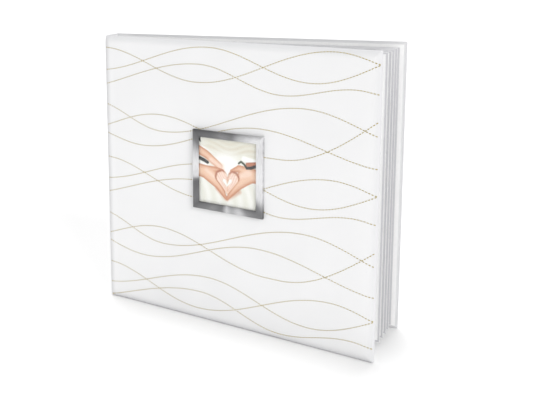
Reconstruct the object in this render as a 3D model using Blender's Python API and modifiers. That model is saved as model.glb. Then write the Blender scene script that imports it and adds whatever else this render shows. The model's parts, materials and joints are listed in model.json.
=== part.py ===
"""Wedding guest book: a padded leatherette album standing slightly open on its bottom edges.

The origin is the middle of the back cover's bottom edge, +X runs from the spine to the fore edge,
+Y from the front cover to the back cover, and +Z is up. Everything is in metres.
"""

import math

import bmesh
import bpy
from mathutils import Vector

MM = 0.001

# Covers
COVER_WIDTH = 342.9 * MM
COVER_HEIGHT = 317.5 * MM
BOOK_THICKNESS = 34 * MM
COVER_BOARD = 2.0 * MM
LEATHER = 0.6 * MM
TURN_IN = 0.5 * MM
TURN_IN_WIDTH = 14 * MM
SPINE_TURN_IN_WIDTH = 6 * MM
LINER = 0.4 * MM
LINER_MARGIN = 3 * MM
FOAM = 1.8 * MM
FOAM_MARGIN = 4 * MM
FOAM_EDGE_ROUNDING = 1.6 * MM
FRONT_EDGE_ROUNDING = 2.6 * MM
BACK_EDGE_ROUNDING = 0.8 * MM
GAP = 0.3 * MM

# How far the front cover stands open from closed
OPEN_ANGLE = math.radians(11.57)

# Cover picture in its metal frame
FRAME_SIZE = 89 * MM
FRAME_BORDER = 8 * MM
FRAME_FACE = 1.0 * MM
FRAME_RIM = 1.0 * MM
FRAME_DROP = 141.3 * MM
FRAME_CHAMFER = 0.4 * MM
GLAZING = 0.8 * MM
PICTURE = 0.3 * MM
BACKING = 0.6 * MM

# Screw post binding
POST_COUNT = 3
POST_SPACING = 108 * MM
POST_DIAMETER = 5.0 * MM
POST_BORE = 3.4 * MM
POST_HOLE_CLEARANCE = 0.6 * MM
POST_HEAD_DIAMETER = 9.0 * MM
POST_HEAD = 1.0 * MM
SCREW_DIAMETER = 2.8 * MM
SCREW_REACH = 8 * MM
SCREW_SLOT = 1.0 * MM
SCREW_SLOT_DEPTH = 0.5 * MM
BINDING_WIDTH = 14 * MM
STRIP = 1.5 * MM
HEAD_ROOM = 1.8 * MM
TAB = 1.0 * MM

# Leaves: clear sleeves open at the top, each with a loose sheet
LEAF_COUNT = 5
SHEET_SIZE = 304.8 * MM
SHEET = 0.4 * MM
FILM = 0.2 * MM
SLEEVE_SEAM = 1.6 * MM
SHEET_PLAY = 0.5 * MM
FLANGE_WIDTH = 8 * MM
FLANGE = 0.4 * MM
TAB_TO_FLANGE = 1.0 * MM
FIRST_LEAF_SHARE = 0.54
SHARE_STEP = 0.131
FIRST_LEAF_LEAN = math.radians(0.4)

# Facets of round pieces and rounded edges
POST_SIDES = 24
HOLE_SIDES = 16
EDGE_SEGMENTS = 3

back_thickness = LEATHER + GAP + COVER_BOARD + GAP + TURN_IN + GAP + LINER
front_thickness = back_thickness + FOAM + GAP
front_plane = back_thickness / 2 - BOOK_THICKNESS
spine_plane = -COVER_WIDTH / 2
binding_start = spine_plane + back_thickness + GAP
binding_end = binding_start + BINDING_WIDTH
post_line = (binding_start + binding_end) / 2
strips_front = front_plane + front_thickness + HEAD_ROOM
strips_back = -back_thickness / 2 - HEAD_ROOM
tabs_front = strips_front + STRIP + GAP
tabs_back = strips_back - STRIP - GAP
tab_pitch = (tabs_back - tabs_front - TAB) / (LEAF_COUNT - 1)
leaf_axis = binding_end + TAB_TO_FLANGE
sleeve_height = SHEET_SIZE + SHEET_PLAY + SLEEVE_SEAM
sleeve_thickness = SHEET + 2 * GAP + 2 * FILM
leaf_foot = (COVER_HEIGHT - sleeve_height) / 2
leaf_top = leaf_foot + sleeve_height

for old_object in list(bpy.data.objects):
    bpy.data.objects.remove(old_object, do_unlink=True)

book_collection = bpy.data.collections.new("wedding_guest_book")
bpy.context.scene.collection.children.link(book_collection)
cutter_collection = bpy.data.collections.new("cutters")
bpy.context.scene.collection.children.link(cutter_collection)


def material(name, color, roughness, metallic=0.0, alpha=1.0):
    """A Principled material."""
    made = bpy.data.materials.new(name)
    made.use_nodes = True
    shader = made.node_tree.nodes["Principled BSDF"]
    shader.inputs["Base Color"].default_value = (*color, 1.0)
    shader.inputs["Roughness"].default_value = roughness
    shader.inputs["Metallic"].default_value = metallic
    shader.inputs["Alpha"].default_value = alpha
    return made


white_leatherette = material("white_leatherette", (0.86, 0.86, 0.87), 0.45)
greyboard = material("greyboard", (0.42, 0.40, 0.37), 0.9)
foam_padding = material("foam_padding", (0.85, 0.84, 0.78), 0.95)
liner_paper = material("liner_paper", (0.9, 0.9, 0.9), 0.7)
brushed_silver = material("brushed_silver", (0.72, 0.72, 0.74), 0.3, metallic=1.0)
clear_acrylic = material("clear_acrylic", (0.95, 0.97, 0.98), 0.05, alpha=0.25)
picture_print = material("picture_print", (0.72, 0.56, 0.44), 0.35)
backing_tin = material("backing_tin", (0.6, 0.6, 0.6), 0.4, metallic=1.0)
post_brass = material("post_brass", (0.75, 0.6, 0.32), 0.3, metallic=1.0)
binding_card = material("binding_card", (0.8, 0.8, 0.8), 0.6)
clear_sleeve = material("clear_sleeve", (0.9, 0.9, 0.92), 0.2, alpha=0.4)
page_sheet = material("page_sheet", (0.93, 0.93, 0.93), 0.8)


def add(name, mesh, finish, parent=None, collection=book_collection):
    """A named object in the book's collection, or in the cutters' one."""
    made = bpy.data.objects.new(name, mesh)
    collection.objects.link(made)
    if finish:
        made.data.materials.append(finish)
    made.parent = parent
    return made


def joint_axis(name, x, y, turned=0.0):
    """An upright joint axis, as an empty that the moving pieces hang from."""
    axis = bpy.data.objects.new(name, None)
    book_collection.objects.link(axis)
    axis.location = (x, y, 0)
    axis.rotation_euler = (0, 0, turned)
    return axis


def block(name, low, high, finish=None, parent=None, collection=book_collection):
    """A box between two corners, with its origin at its centre."""
    low, high = Vector(low), Vector(high)
    shape = bmesh.new()
    bmesh.ops.create_cube(shape, size=1.0)
    bmesh.ops.scale(shape, vec=high - low, verts=shape.verts)
    mesh = bpy.data.meshes.new(name)
    shape.to_mesh(mesh)
    shape.free()
    made = add(name, mesh, finish, parent, collection)
    made.location = (low + high) / 2
    return made


def cut(piece, cutter):
    """Take the cutter's shape out of the piece."""
    cutter.hide_render = True
    cutter.display_type = "WIRE"
    step = piece.modifiers.new("cut_" + cutter.name, "BOOLEAN")
    step.operation = "DIFFERENCE"
    step.object = cutter


def cut_block(piece, name, low, high):
    """Take a box out of a piece, measured in the frame that the piece hangs from."""
    cutter = block(name, low, high, parent=piece.parent, collection=cutter_collection)
    cut(piece, cutter)
    return cutter


def turned(name, profile, finish, location, tilt):
    """A round piece: a (radius, height) outline from its top to its foot, spun about its own Z."""
    shape = bmesh.new()
    points = [shape.verts.new((radius, 0, height)) for radius, height in profile]
    for upper, lower in zip(points, points[1:]):
        shape.edges.new((upper, lower))
    mesh = bpy.data.meshes.new(name)
    shape.to_mesh(mesh)
    shape.free()
    made = add(name, mesh, finish)
    spin = made.modifiers.new("spin", "SCREW")
    spin.steps = POST_SIDES
    spin.render_steps = POST_SIDES
    spin.use_merge_vertices = True
    spin.merge_threshold = 0.01 * MM
    made.location = location
    made.rotation_euler = (tilt, 0, 0)
    return made


class Side:
    """One side of the case, built in layers from its outer face inwards."""

    def __init__(self, across, inward, low, high, parent=None):
        self.across = across
        self.inward = inward
        self.low = Vector(low)
        self.high = Vector(high)
        self.outer = self.low[across] if inward > 0 else self.high[across]
        self.parent = parent

    def layer(self, start, end, margin=0.0):
        """The corners of a layer between two depths, drawn in from the side's edges."""
        low = self.low + Vector((margin, margin, margin))
        high = self.high - Vector((margin, margin, margin))
        faces = (self.outer + self.inward * start, self.outer + self.inward * end)
        low[self.across] = min(faces)
        high[self.across] = max(faces)
        return low, high

    def round_outside(self, piece, width):
        """Round the edges of a piece around its outermost face."""
        mesh = piece.data
        outermost = min(self.inward * v.co[self.across] for v in mesh.vertices)
        weights = mesh.attributes.new("bevel_weight_edge", "FLOAT", "EDGE")
        for edge in mesh.edges:
            depths = [self.inward * mesh.vertices[v].co[self.across] for v in edge.vertices]
            weights.data[edge.index].value = float(max(depths) < outermost + GAP / 2)
        step = piece.modifiers.new("rounding", "BEVEL")
        step.limit_method = "WEIGHT"
        step.width = width
        step.segments = EDGE_SEGMENTS
        piece.modifiers.move(len(piece.modifiers) - 1, 0)


def build_case_side(name, side, foam, rounding, turn_in_width):
    """Leatherette turned in over a board, with foam under it on a padded side, and a liner."""
    board_at = LEATHER + GAP + (foam + GAP if foam else 0)
    pocket_end = board_at + COVER_BOARD + GAP
    skin_end = pocket_end + TURN_IN
    inside = LEATHER + GAP
    skin = block(name + "_leather", *side.layer(0, skin_end), white_leatherette, side.parent)
    pocket = cut_block(skin, name + "_pocket", *side.layer(LEATHER, pocket_end, LEATHER))
    window = side.layer(board_at, skin_end + GAP, turn_in_width)
    cut_block(skin, name + "_window", *window)
    side.round_outside(skin, rounding)
    side.round_outside(pocket, rounding - LEATHER)
    if foam:
        padding = side.layer(inside, inside + foam, FOAM_MARGIN)
        padding = block(name + "_foam_pad", *padding, foam_padding, side.parent)
        side.round_outside(padding, FOAM_EDGE_ROUNDING)
    board = side.layer(board_at, board_at + COVER_BOARD, inside)
    block(name + "_board", *board, greyboard, side.parent)
    liner = side.layer(skin_end + GAP, skin_end + GAP + LINER, LINER_MARGIN)
    block(name + "_liner", *liner, liner_paper, side.parent)


def build_covers(front_axis):
    """The padded front cover, the back cover and the spine between them."""
    front = Side(1, 1, (0, 0, 0), (COVER_WIDTH, front_thickness, COVER_HEIGHT), front_axis)
    build_case_side("front_cover", front, FOAM, FRONT_EDGE_ROUNDING, TURN_IN_WIDTH)
    back_low = (spine_plane, -back_thickness / 2, 0)
    back_high = (-spine_plane, back_thickness / 2, COVER_HEIGHT)
    back = Side(1, -1, back_low, back_high)
    build_case_side("back_cover", back, 0, BACK_EDGE_ROUNDING, TURN_IN_WIDTH)
    spine_low = (spine_plane, front_plane + front_thickness + GAP, 0)
    spine_high = (spine_plane + back_thickness, -back_thickness / 2 - GAP, COVER_HEIGHT)
    spine = Side(0, 1, spine_low, spine_high)
    build_case_side("spine", spine, 0, BACK_EDGE_ROUNDING, SPINE_TURN_IN_WIDTH)


def build_cover_picture(front_axis):
    """The silver frame on the front cover: a face and three rims, open above for the picture."""
    left = (COVER_WIDTH - FRAME_SIZE) / 2
    right = left + FRAME_SIZE
    top = COVER_HEIGHT - FRAME_DROP + FRAME_SIZE / 2
    foot = top - FRAME_SIZE
    backing_at = GAP
    picture_at = backing_at + BACKING + GAP
    glazing_at = picture_at + PICTURE + GAP
    face_at = glazing_at + GLAZING + GAP
    face_end = face_at + FRAME_FACE
    frame_side = Side(1, 1, (left, -face_end, foot), (right, -backing_at, top), front_axis)
    frame = block("silver_frame", frame_side.low, frame_side.high, brushed_silver, front_axis)
    channel_low = (left + FRAME_RIM, -face_at, foot + FRAME_RIM)
    channel_high = (right - FRAME_RIM, 0, top + FRAME_RIM)
    cut_block(frame, "frame_channel", channel_low, channel_high)
    window_low = (left + FRAME_BORDER, -face_end - FRAME_FACE, foot + FRAME_BORDER)
    window_high = (right - FRAME_BORDER, 0, top - FRAME_BORDER)
    cut_block(frame, "frame_window", window_low, window_high)
    frame_side.round_outside(frame, FRAME_CHAMFER)
    inset = FRAME_RIM + GAP
    layers = (
        ("frame_backing", backing_at, BACKING, backing_tin),
        ("cover_picture", picture_at, PICTURE, picture_print),
        ("frame_glazing", glazing_at, GLAZING, clear_acrylic),
    )
    for name, start, thickness, finish in layers:
        low = (left + inset, -start - thickness, foot + inset)
        high = (right - inset, -start, top - GAP)
        block(name, low, high, finish, front_axis)


def post_heights():
    """The heights of the posts, spread evenly about the middle of the spine."""
    middle = COVER_HEIGHT / 2 - (POST_COUNT - 1) * POST_SPACING / 2
    return [middle + k * POST_SPACING for k in range(POST_COUNT)]


def hole_cutters():
    """One round cutter for each post, right through the binding."""
    made = []
    for k, height in enumerate(post_heights()):
        shape = bmesh.new()
        radius = (POST_DIAMETER + POST_HOLE_CLEARANCE) / 2
        bmesh.ops.create_cone(shape, cap_ends=True, segments=HOLE_SIDES, radius1=radius,
                              radius2=radius, depth=BOOK_THICKNESS)
        mesh = bpy.data.meshes.new("post_hole")
        shape.to_mesh(mesh)
        shape.free()
        cutter = add(f"post_hole_{k + 1}", mesh, None, collection=cutter_collection)
        cutter.location = (post_line, (strips_front + strips_back) / 2, height)
        cutter.rotation_euler = (math.pi / 2, 0, 0)
        made.append(cutter)
    return made


def binding_strip(name, start, thickness, finish, cutters):
    """An upright strip with the three post holes through it."""
    low = (binding_start, start, leaf_foot)
    high = (binding_end, start + thickness, leaf_top)
    strip = block(name, low, high, finish)
    for cutter in cutters:
        cut(strip, cutter)


def build_binding(cutters):
    """The strips, tabs and spacers, held between the heads of the screw posts."""
    binding_strip("front_post_strip", strips_front, STRIP, binding_card, cutters)
    binding_strip("back_post_strip", strips_back - STRIP, STRIP, binding_card, cutters)
    for k in range(LEAF_COUNT):
        tab_at = tabs_front + k * tab_pitch
        binding_strip(f"leaf_{k + 1}_tab", tab_at, TAB, binding_card, cutters)
        if k:
            spacer_at = tab_at - tab_pitch + TAB + GAP
            spacer = tab_pitch - TAB - 2 * GAP
            binding_strip(f"spacer_{k}", spacer_at, spacer, binding_card, cutters)


def build_posts():
    """Threaded barrels from the front strip, each closed by a slotted screw at the back."""
    post, head, bore = POST_DIAMETER / 2, POST_HEAD_DIAMETER / 2, POST_BORE / 2
    shank = SCREW_DIAMETER / 2
    soft = POST_HEAD / 4
    length = strips_back - strips_front
    bore_depth = SCREW_REACH + POST_HEAD
    barrel = ((0, POST_HEAD), (head - soft, POST_HEAD), (head, POST_HEAD - soft), (head, 0), (post, 0),
              (post, -length), (bore, -length), (bore, bore_depth - length), (0, bore_depth - length))
    screw = ((0, POST_HEAD), (head - soft, POST_HEAD), (head, POST_HEAD - soft), (head, 0), (shank, 0),
             (shank, soft - SCREW_REACH), (shank - soft, -SCREW_REACH), (0, -SCREW_REACH))
    for k, height in enumerate(post_heights()):
        front_place = (post_line, strips_front - GAP, height)
        turned(f"post_barrel_{k + 1}", barrel, post_brass, front_place, math.pi / 2)
        back_place = (post_line, strips_back + GAP, height)
        made = turned(f"post_screw_{k + 1}", screw, post_brass, back_place, -math.pi / 2)
        outer = strips_back + GAP + POST_HEAD
        slot_low = (post_line - SCREW_SLOT / 2, outer - SCREW_SLOT_DEPTH, height - head - GAP)
        slot_high = (post_line + SCREW_SLOT / 2, outer + GAP, height + head + GAP)
        cut_block(made, f"screw_slot_{k + 1}", slot_low, slot_high)


def build_leaf(k):
    """One clear sleeve, open at the top, with its loose sheet, leaning from the back cover."""
    share = FIRST_LEAF_SHARE - k * SHARE_STEP
    lean = FIRST_LEAF_LEAN * (1 - k / (LEAF_COUNT - 1))
    axis_y = tabs_front + k * tab_pitch + TAB / 2
    axis = joint_axis(f"leaf_{k + 1}_axis", leaf_axis, axis_y, -(share * OPEN_ANGLE + lean))
    half = sleeve_thickness / 2
    pocket_at = FLANGE_WIDTH + SLEEVE_SEAM
    pocket_end = pocket_at + SHEET_SIZE + 2 * SHEET_PLAY
    pocket_foot = leaf_foot + SLEEVE_SEAM
    low = (FLANGE_WIDTH, -half, leaf_foot)
    high = (pocket_end + SLEEVE_SEAM, half, leaf_top)
    sleeve = block(f"leaf_{k + 1}_sleeve", low, high, clear_sleeve, axis)
    flange_low = (0, -FLANGE / 2, leaf_foot)
    flange_high = (pocket_at - SHEET_PLAY, FLANGE / 2, leaf_top)
    flange = block(f"flange_{k + 1}", flange_low, flange_high, None, axis, cutter_collection)
    flange.hide_render = True
    flange.display_type = "WIRE"
    join = sleeve.modifiers.new("flange", "BOOLEAN")
    join.operation = "UNION"
    join.object = flange
    pocket_low = (pocket_at, FILM - half, pocket_foot)
    pocket_high = (pocket_end, half - FILM, leaf_top + SLEEVE_SEAM)
    cut_block(sleeve, f"sleeve_{k + 1}_pocket", pocket_low, pocket_high)
    sheet_low = (pocket_at + SHEET_PLAY, -SHEET / 2, pocket_foot + GAP)
    sheet_high = (pocket_end - SHEET_PLAY, SHEET / 2, pocket_foot + GAP + SHEET_SIZE)
    block(f"leaf_{k + 1}_sheet", sheet_low, sheet_high, page_sheet, axis)


def smooth_round_pieces():
    """Smooth shading on the turned pieces, with their sharp edges kept."""
    for piece in book_collection.objects:
        if piece.name.startswith("post_"):
            piece.data.shade_smooth()
            piece.data.set_sharp_from_angle(angle=math.radians(40))


front_cover_axis = joint_axis("front_cover_axis", spine_plane, front_plane, -OPEN_ANGLE)
build_covers(front_cover_axis)
build_cover_picture(front_cover_axis)
build_binding(hole_cutters())
build_posts()
for leaf in range(LEAF_COUNT):
    build_leaf(leaf)
smooth_round_pieces()
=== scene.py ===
# %% [markdown]
# # A padded wedding guest book
#
# This lesson dresses a finished, working model of a wedding guest book. The model already has every
# board, liner, screw post, page sleeve and hinge in its right place, and each piece made here reads
# its place from that model. What is left to make is what the eye enjoys, such as the soft white
# leatherette, the gold wave embroidery, the brushed silver frame with its keepsake picture, and the
# clear page sleeves.
#
# The book stands on its bottom edges with the front cover a little open. +X runs from the spine to
# the fore edge, +Y from the front cover to the back cover, +Z is up, and every length is in metres.

import json
import math

import bmesh
import bpy
import numpy as np
from mathutils import Matrix, Vector


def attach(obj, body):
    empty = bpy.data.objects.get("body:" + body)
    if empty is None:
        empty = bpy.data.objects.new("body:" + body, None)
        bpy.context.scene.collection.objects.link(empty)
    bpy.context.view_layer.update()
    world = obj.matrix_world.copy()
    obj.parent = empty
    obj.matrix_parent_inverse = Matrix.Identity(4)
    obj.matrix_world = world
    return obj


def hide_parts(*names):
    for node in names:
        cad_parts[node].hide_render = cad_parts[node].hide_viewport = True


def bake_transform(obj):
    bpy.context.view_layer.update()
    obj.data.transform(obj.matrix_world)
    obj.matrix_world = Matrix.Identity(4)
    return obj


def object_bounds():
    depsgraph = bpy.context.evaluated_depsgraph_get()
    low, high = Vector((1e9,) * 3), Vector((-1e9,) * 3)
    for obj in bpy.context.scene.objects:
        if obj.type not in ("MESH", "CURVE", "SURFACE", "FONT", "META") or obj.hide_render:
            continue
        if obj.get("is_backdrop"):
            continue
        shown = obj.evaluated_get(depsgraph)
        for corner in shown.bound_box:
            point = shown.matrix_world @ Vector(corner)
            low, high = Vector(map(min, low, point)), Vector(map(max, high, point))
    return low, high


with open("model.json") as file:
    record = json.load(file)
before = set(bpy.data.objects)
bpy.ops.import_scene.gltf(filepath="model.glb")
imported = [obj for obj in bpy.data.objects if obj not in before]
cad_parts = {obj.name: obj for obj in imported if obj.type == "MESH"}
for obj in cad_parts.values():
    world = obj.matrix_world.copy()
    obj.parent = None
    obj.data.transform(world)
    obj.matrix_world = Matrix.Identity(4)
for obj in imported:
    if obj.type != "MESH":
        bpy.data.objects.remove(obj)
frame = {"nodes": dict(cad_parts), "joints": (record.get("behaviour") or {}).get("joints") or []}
cad_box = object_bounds()
MM = 0.001
print("working model:", [round(side / MM) for side in cad_box[1] - cad_box[0]], "mm")

# %% [markdown]
# ## Rulers for the two covers and the spine
#
# The front cover stands at an angle, so world coordinates are awkward for it. A binder would lay a
# ruler along the cover instead. `Side` is that ruler: it turns (distance from the hinge, depth
# below the outer face, height) into a place in the world, and it can read a model piece in the
# same terms. With one ruler per side, one function can clothe the front, the back and the spine.

# %% Make a ruler for each side
UP = np.array((0.0, 0.0, 1.0))
hinge_of = {joint["name"]: joint for joint in frame["joints"]}


def points_of(piece):
    """The mesh points of a piece, one row each."""
    return np.array([vertex.co for vertex in piece.data.vertices])


class Side:
    """A ruler along one side of the case: distance from the hinge, depth below the face, height."""

    def __init__(self, corner, along, inward):
        self.corner = np.array(corner, float)
        self.axes = np.array((along, inward, UP), float)

    def place(self, points):
        """World places of (distance, depth, height) points."""
        return self.corner + np.asarray(points, float) @ self.axes

    def measure(self, node):
        """The lowest and highest distance, depth and height of a model piece."""
        read = (points_of(frame["nodes"][node]) - self.corner) @ self.axes.T
        return read.min(0), read.max(0)


front_hinge = hinge_of["front_cover_hinge"]
back_hinge = hinge_of["back_cover_hinge"]
open_angle = math.radians(-front_hinge["range_deg"][0])
front_along = (math.cos(open_angle), -math.sin(open_angle), 0)
front_inward = (math.sin(open_angle), math.cos(open_angle), 0)
front = Side(front_hinge["pos_m"], front_along, front_inward)
back = Side(back_hinge["pos_m"], (1, 0, 0), (0, -1, 0))
spine_from_front = Side(front_hinge["pos_m"], (0, 1, 0), (1, 0, 0))
spine_from_back = Side(back_hinge["pos_m"], (0, -1, 0), (1, 0, 0))

cover_low, cover_high = front.measure("front_cover_leather")
cover_width = cover_high[0]
cover_height = cover_high[2]
cover_size = np.round((cover_high - cover_low) / MM, 1)
print("front cover:", cover_size, "mm, open", round(math.degrees(open_angle), 1), "degrees")

# %% [markdown]
# ## The camera, the light and the table
#
# The book is shown the way a shop shows it: a little from the right and from above, on plain white.
# A long lens keeps its edges straight. Two soft suns light it. One stands nearly overhead and a
# little behind the book, and lays a faint shadow on the table in front. The other is the key light:
# it comes from the front right and lights the cover and the page edges alike, because a distant
# light does not grow stronger towards the near side. The white world fills in the rest.

# %% Set up the camera
scene = bpy.context.scene
camera_data = bpy.data.cameras.new("camera")
camera = bpy.data.objects.new("camera", camera_data)
scene.collection.objects.link(camera)
scene.camera = camera
FOCAL_WIDTHS = 1.6856
LENS_SHIFT = (0.1495, -0.1536)
CAMERA_PLACE = (0.3356, -0.9552, 0.4088)
CAMERA_TURN = 0.4105
CAMERA_TIP = 0.1793
CAMERA_ROLL = -0.009
camera_data.lens = camera_data.sensor_width * FOCAL_WIDTHS
camera_data.shift_x, camera_data.shift_y = LENS_SHIFT
camera_data.clip_end = 50
turned = Matrix.Rotation(CAMERA_TURN, 4, "Z")
tipped = Matrix.Rotation(math.pi / 2 - CAMERA_TIP, 4, "X")
rolled = Matrix.Rotation(CAMERA_ROLL, 4, "Z")
camera.matrix_world = Matrix.Translation(CAMERA_PLACE) @ turned @ tipped @ rolled
scene.view_settings.view_transform = "Standard"
print("lens:", round(camera_data.lens, 1), "mm")

# %% Light the book and lay the table
TABLE_SIZE = 80.0
TABLE_DROP = 0.0004
TABLE_WHITE = 0.97
SKY = 0.61
NOON = 1.3
NOON_TILT = Vector((-0.15, 0.36, 2))
NOON_SPREAD = math.radians(18)
KEY = 1.7
KEY_PLACE = (2.0, -1.6, 1.3)
KEY_SPREAD = math.radians(25)


def node_tree_material(name):
    """A fresh material, with its node tree and its Principled shader."""
    made = bpy.data.materials.new(name)
    made.use_nodes = True
    tree = made.node_tree
    return made, tree, tree.nodes["Principled BSDF"]


def hang_sun(name, place, target, power, spread):
    """A soft sun that shines from a place towards a target."""
    data = bpy.data.lights.new(name, "SUN")
    data.energy = power
    data.angle = spread
    light = bpy.data.objects.new(name, data)
    scene.collection.objects.link(light)
    light.location = place
    light.rotation_euler = (Vector(target) - Vector(place)).to_track_quat("-Z", "Y").to_euler()


world = bpy.data.worlds.new("white_studio")
scene.world = world
world.use_nodes = True
background = world.node_tree.nodes["Background"]
background.inputs["Color"].default_value = (1, 1, 1, 1)
background.inputs["Strength"].default_value = SKY
book_middle = (cad_box[0] + cad_box[1]) / 2
book_top = Vector((book_middle[0], book_middle[1], cad_box[1][2]))
hang_sun("ceiling_bank", book_top + NOON_TILT, book_top, NOON, NOON_SPREAD)
hang_sun("key_softbox", KEY_PLACE, book_middle, KEY, KEY_SPREAD)

bpy.ops.mesh.primitive_plane_add(size=TABLE_SIZE, location=(0, 0, -TABLE_DROP))
table = bpy.context.object
table.name = "white_table"
table_finish, _, table_shader = node_tree_material("white_table")
table_shader.inputs["Base Color"].default_value = (TABLE_WHITE, TABLE_WHITE, TABLE_WHITE, 1)
table_shader.inputs["Roughness"].default_value = 0.9
table_shader.inputs["Specular IOR Level"].default_value = 0.1
table.data.materials.append(table_finish)
table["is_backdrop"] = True
print("suns:", NOON, "and", KEY, "with a sky of", SKY)

# %% [markdown]
# ## Small helpers for finishes
#
# Every finish below is a Principled shader with a few texture nodes. The helpers only save typing:
# `noise` adds a noise texture read in object space, `ramp` turns a value into a colour, and `bump`
# turns a height into surface relief. Real sizes matter more than anything else here, so the scale of
# each texture is given as the size of its features in millimetres.

# %% Define the texture helpers


def coordinates(tree, stretch=(1, 1, 1)):
    """Object coordinates in millimetres, stretched along the axes."""
    source = tree.nodes.new("ShaderNodeTexCoord")
    mapping = tree.nodes.new("ShaderNodeMapping")
    mapping.inputs["Scale"].default_value = [factor / MM for factor in stretch]
    tree.links.new(source.outputs["Object"], mapping.inputs["Vector"])
    return mapping.outputs["Vector"]


def mark(tree, name):
    """A value, colour or vector that is written on the points of a piece."""
    source = tree.nodes.new("ShaderNodeAttribute")
    source.attribute_name = name
    return source.outputs


def noise(tree, vector, feature_mm, detail=3.0, roughness=0.5, distortion=0.0):
    """Noise whose features are about feature_mm wide."""
    made = tree.nodes.new("ShaderNodeTexNoise")
    made.inputs["Scale"].default_value = 1 / feature_mm
    made.inputs["Detail"].default_value = detail
    made.inputs["Roughness"].default_value = roughness
    made.inputs["Distortion"].default_value = distortion
    tree.links.new(vector, made.inputs["Vector"])
    return made.outputs["Fac"]


def cells(tree, vector, feature_mm, feature="DISTANCE_TO_EDGE"):
    """Voronoi cells about feature_mm wide: the distance to the nearest cell edge."""
    made = tree.nodes.new("ShaderNodeTexVoronoi")
    made.feature = feature
    made.inputs["Scale"].default_value = 1 / feature_mm
    tree.links.new(vector, made.inputs["Vector"])
    return made.outputs["Distance"]


def ramp(tree, value, *stops):
    """A colour ramp through (position, colour) stops."""
    made = tree.nodes.new("ShaderNodeValToRGB")
    elements = made.color_ramp.elements
    while len(elements) < len(stops):
        elements.new(0.5)
    for element, (position, colour) in zip(elements, stops):
        element.position = position
        element.color = (*colour, 1)
    tree.links.new(value, made.inputs["Fac"])
    return made.outputs["Color"]


def multiply(tree, first, second):
    """One colour multiplied by another."""
    made = tree.nodes.new("ShaderNodeMix")
    made.data_type = "RGBA"
    made.blend_type = "MULTIPLY"
    made.inputs["Factor"].default_value = 1.0
    tree.links.new(first, made.inputs["A"])
    tree.links.new(second, made.inputs["B"])
    return made.outputs["Result"]


def remap(tree, value, low, high, new_low, new_high):
    """A value moved from one range to another."""
    made = tree.nodes.new("ShaderNodeMapRange")
    for socket, number in (("From Min", low), ("From Max", high), ("To Min", new_low), ("To Max", new_high)):
        made.inputs[socket].default_value = number
    tree.links.new(value, made.inputs["Value"])
    return made.outputs["Result"]


def bump(tree, shader, height, depth_mm, strength=1.0, below=None):
    """Relief of the given depth, laid over an earlier bump if there is one."""
    made = tree.nodes.new("ShaderNodeBump")
    made.inputs["Strength"].default_value = strength
    made.inputs["Distance"].default_value = depth_mm * MM
    tree.links.new(height, made.inputs["Height"])
    if below:
        tree.links.new(below, made.inputs["Normal"])
    tree.links.new(made.outputs["Normal"], shader.inputs["Normal"])
    return made.outputs["Normal"]


def finish_from(name, roughness, metallic=0.0):
    """A material with its constant roughness and metallic values set."""
    made, tree, shader = node_tree_material(name)
    shader.inputs["Roughness"].default_value = roughness
    shader.inputs["Metallic"].default_value = metallic
    return made, tree, shader


# %% [markdown]
# ## White leatherette
#
# The covers are wrapped in pearl white leatherette: a pressed grain of small soft pebbles with fine
# pores between them, under a satin top coat. A Voronoi texture gives the pebbles, its cell edges
# the creases, and a finer noise the pores. The grain is only a tenth of a millimetre deep, so
# from a distance it shows as a soft sheen and not as dots.

# %% Mix the leatherette


def mix_leatherette():
    """Satin white leatherette with a fine pebble grain, greyed towards the edges as painted shade."""
    made, tree, shader = finish_from("white_leatherette", 0.42)
    vector = coordinates(tree)
    cloudy = noise(tree, vector, 60, 2)
    tone = ramp(tree, cloudy, (0.3, (0.80, 0.80, 0.805)), (0.7, (0.82, 0.82, 0.825)))
    # Painted shade: the colour greys towards each board's edge, where the rounded leather turns from the
    # light.
    painted_edge_shade = ramp(tree, mark(tree, "edge")["Fac"], (0.0, (1, 1, 1)), (1.0, (0.76, 0.76, 0.77)))
    tree.links.new(multiply(tree, tone, painted_edge_shade), shader.inputs["Base Color"])
    gloss = noise(tree, vector, 14, 3)
    tree.links.new(remap(tree, gloss, 0.3, 0.7, 0.36, 0.5), shader.inputs["Roughness"])
    pebbles = cells(tree, vector, 0.9)
    grain = bump(tree, shader, remap(tree, pebbles, 0.0, 0.35, 0.0, 1.0), 0.06, 0.55)
    pores = noise(tree, vector, 0.35, 2)
    bump(tree, shader, pores, 0.03, 0.35, below=grain)
    shader.inputs["Sheen Weight"].default_value = 0.08
    shader.inputs["Sheen Roughness"].default_value = 0.4
    shader.inputs["Specular IOR Level"].default_value = 0.45
    return made


leatherette = mix_leatherette()

# %% [markdown]
# ## Building with grids
#
# Leather on a book is one sheet that bends round every edge, so its mesh should be made of long
# clean rows that follow those bends. Two helpers make every leather piece here. `shell` closes two
# matching grids, an outside and an inside, into one thin skin. `wrapped_board` lofts rings of points
# from the middle of the face, over the rounded edge and down its side, and back under the turned-in
# margin, then returns on the inside of the leather. A subdivided box would give softer but uneven
# edges, and its corners would pinch.

# %% Define the mesh builders


SAME_POINT = 0.001 * MM
SHARP_ANGLE = math.radians(50)


def add_mesh(name, points, faces, finish, body, weld=True):
    """A closed mesh piece that rides on a body and takes its finish from a slot."""
    mesh = bpy.data.meshes.new(name)
    mesh.from_pydata([tuple(point) for point in points], [], [tuple(face) for face in faces])
    tidy = bmesh.new()
    tidy.from_mesh(mesh)
    if weld:
        bmesh.ops.remove_doubles(tidy, verts=tidy.verts, dist=SAME_POINT)
    bmesh.ops.recalc_face_normals(tidy, faces=tidy.faces)
    tidy.to_mesh(mesh)
    tidy.free()
    mesh.shade_smooth()
    mesh.set_sharp_from_angle(angle=SHARP_ANGLE)
    piece = bpy.data.objects.new(name, mesh)
    scene.collection.objects.link(piece)
    mesh.materials.append(finish)
    if body:
        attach(piece, body)
    return piece


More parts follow.
